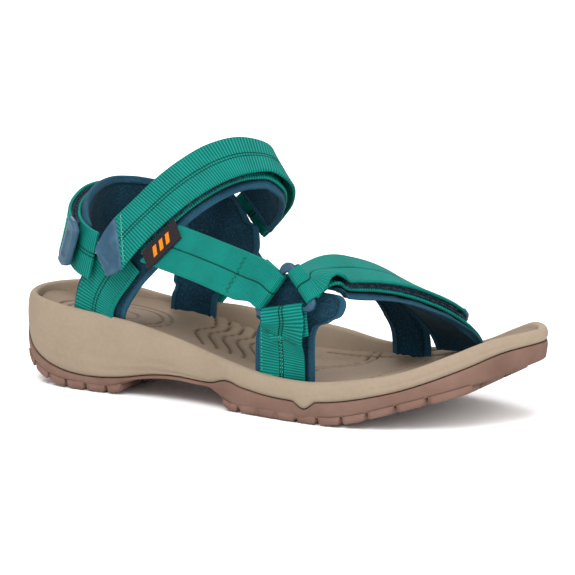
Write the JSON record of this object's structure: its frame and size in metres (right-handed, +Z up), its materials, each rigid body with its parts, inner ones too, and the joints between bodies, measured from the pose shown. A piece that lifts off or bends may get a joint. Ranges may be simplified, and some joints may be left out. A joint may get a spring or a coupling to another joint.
{
  "type": "strappy sport sandal",
  "caption": "Open strappy sport sandal for the right foot: foam sole with a lugged rubber tread, webbing straps joined by a moulded ring, and hook-and-loop closures at toe, instep and heel.",
  "frame": {"origin": "on the ground, under the middle of the sandal's overall length and width", "axes": "+X from heel to toe, +Y towards the medial (inner) side of the foot, +Z up"},
  "size_m": [0.2594, 0.0972, 0.1172],
  "materials": {
    "outsole_rubber": "matte, fine moulded grain",
    "midsole_foam": "matte skin on closed-cell foam",
    "footbed_foam": "matte, fine stipple",
    "shank_plastic": "satin",
    "shock_foam": "matte",
    "moulded_trim": "satin",
    "webbing": "ribbed weave with a slight sheen",
    "lining": "soft brushed stretch cloth over foam",
    "hook_tape": "stiff hooks",
    "loop_tape": "brushed loops",
    "label_fabric": "woven tag with a plain motif"
  },
  "bodies": {
    "sandal": {"outsole": "outsole_rubber", "midsole": "midsole_foam", "footbed": "footbed_foam", "shank": "shank_plastic", "heel_shock_pad": "shock_foam", "strap_link": "moulded_trim", "side_label": "label_fabric", "rear_lateral_webbing": "webbing", "front_lateral_webbing": "webbing", "rear_medial_webbing": "webbing", "front_medial_webbing": "webbing", "lateral_webbing": "webbing", "toe_base_webbing": "webbing", "instep_strap": "webbing", "instep_base_webbing": "webbing", "heel_base_webbing": "webbing", "heel_strap": "webbing", "rear_lateral_lining": "lining", "front_lateral_lining": "lining", "rear_medial_lining": "lining", "front_medial_lining": "lining", "toe_lining": "lining", "instep_pad": "lining", "heel_pad": "lining", "toe_loop_patch": "loop_tape", "instep_loop_patch": "loop_tape", "heel_loop_patch": "loop_tape"},
    "instep_closure": {"instep_flap": "webbing", "instep_hook_patch": "hook_tape", "instep_tab": "moulded_trim"},
    "toe_closure": {"toe_flap": "webbing", "toe_hook_patch": "hook_tape", "toe_tab": "moulded_trim"},
    "heel_closure": {"heel_flap": "webbing", "heel_hook_patch": "hook_tape", "heel_tab": "moulded_trim"}
  },
  "joints": [
    {"name": "instep_flap_hinge", "type": "hinge", "parent": "sandal", "child": "instep_closure", "pos_m": [-0.01987, 0.01365, 0.11013], "axis": [-0.5623, 0.5927, 0.5766], "range_deg": [0, 110]},
    {"name": "toe_flap_hinge", "type": "hinge", "parent": "sandal", "child": "toe_closure", "pos_m": [0.0389, -0.04064, 0.0662], "axis": [0.8031, -0.1139, -0.5849], "range_deg": [0, 100]},
    {"name": "heel_flap_hinge", "type": "hinge", "parent": "sandal", "child": "heel_closure", "pos_m": [-0.10281, 0.01667, 0.0805], "axis": [-0.2045, 0.0518, -0.9775], "range_deg": [0, 100]}
  ]
}
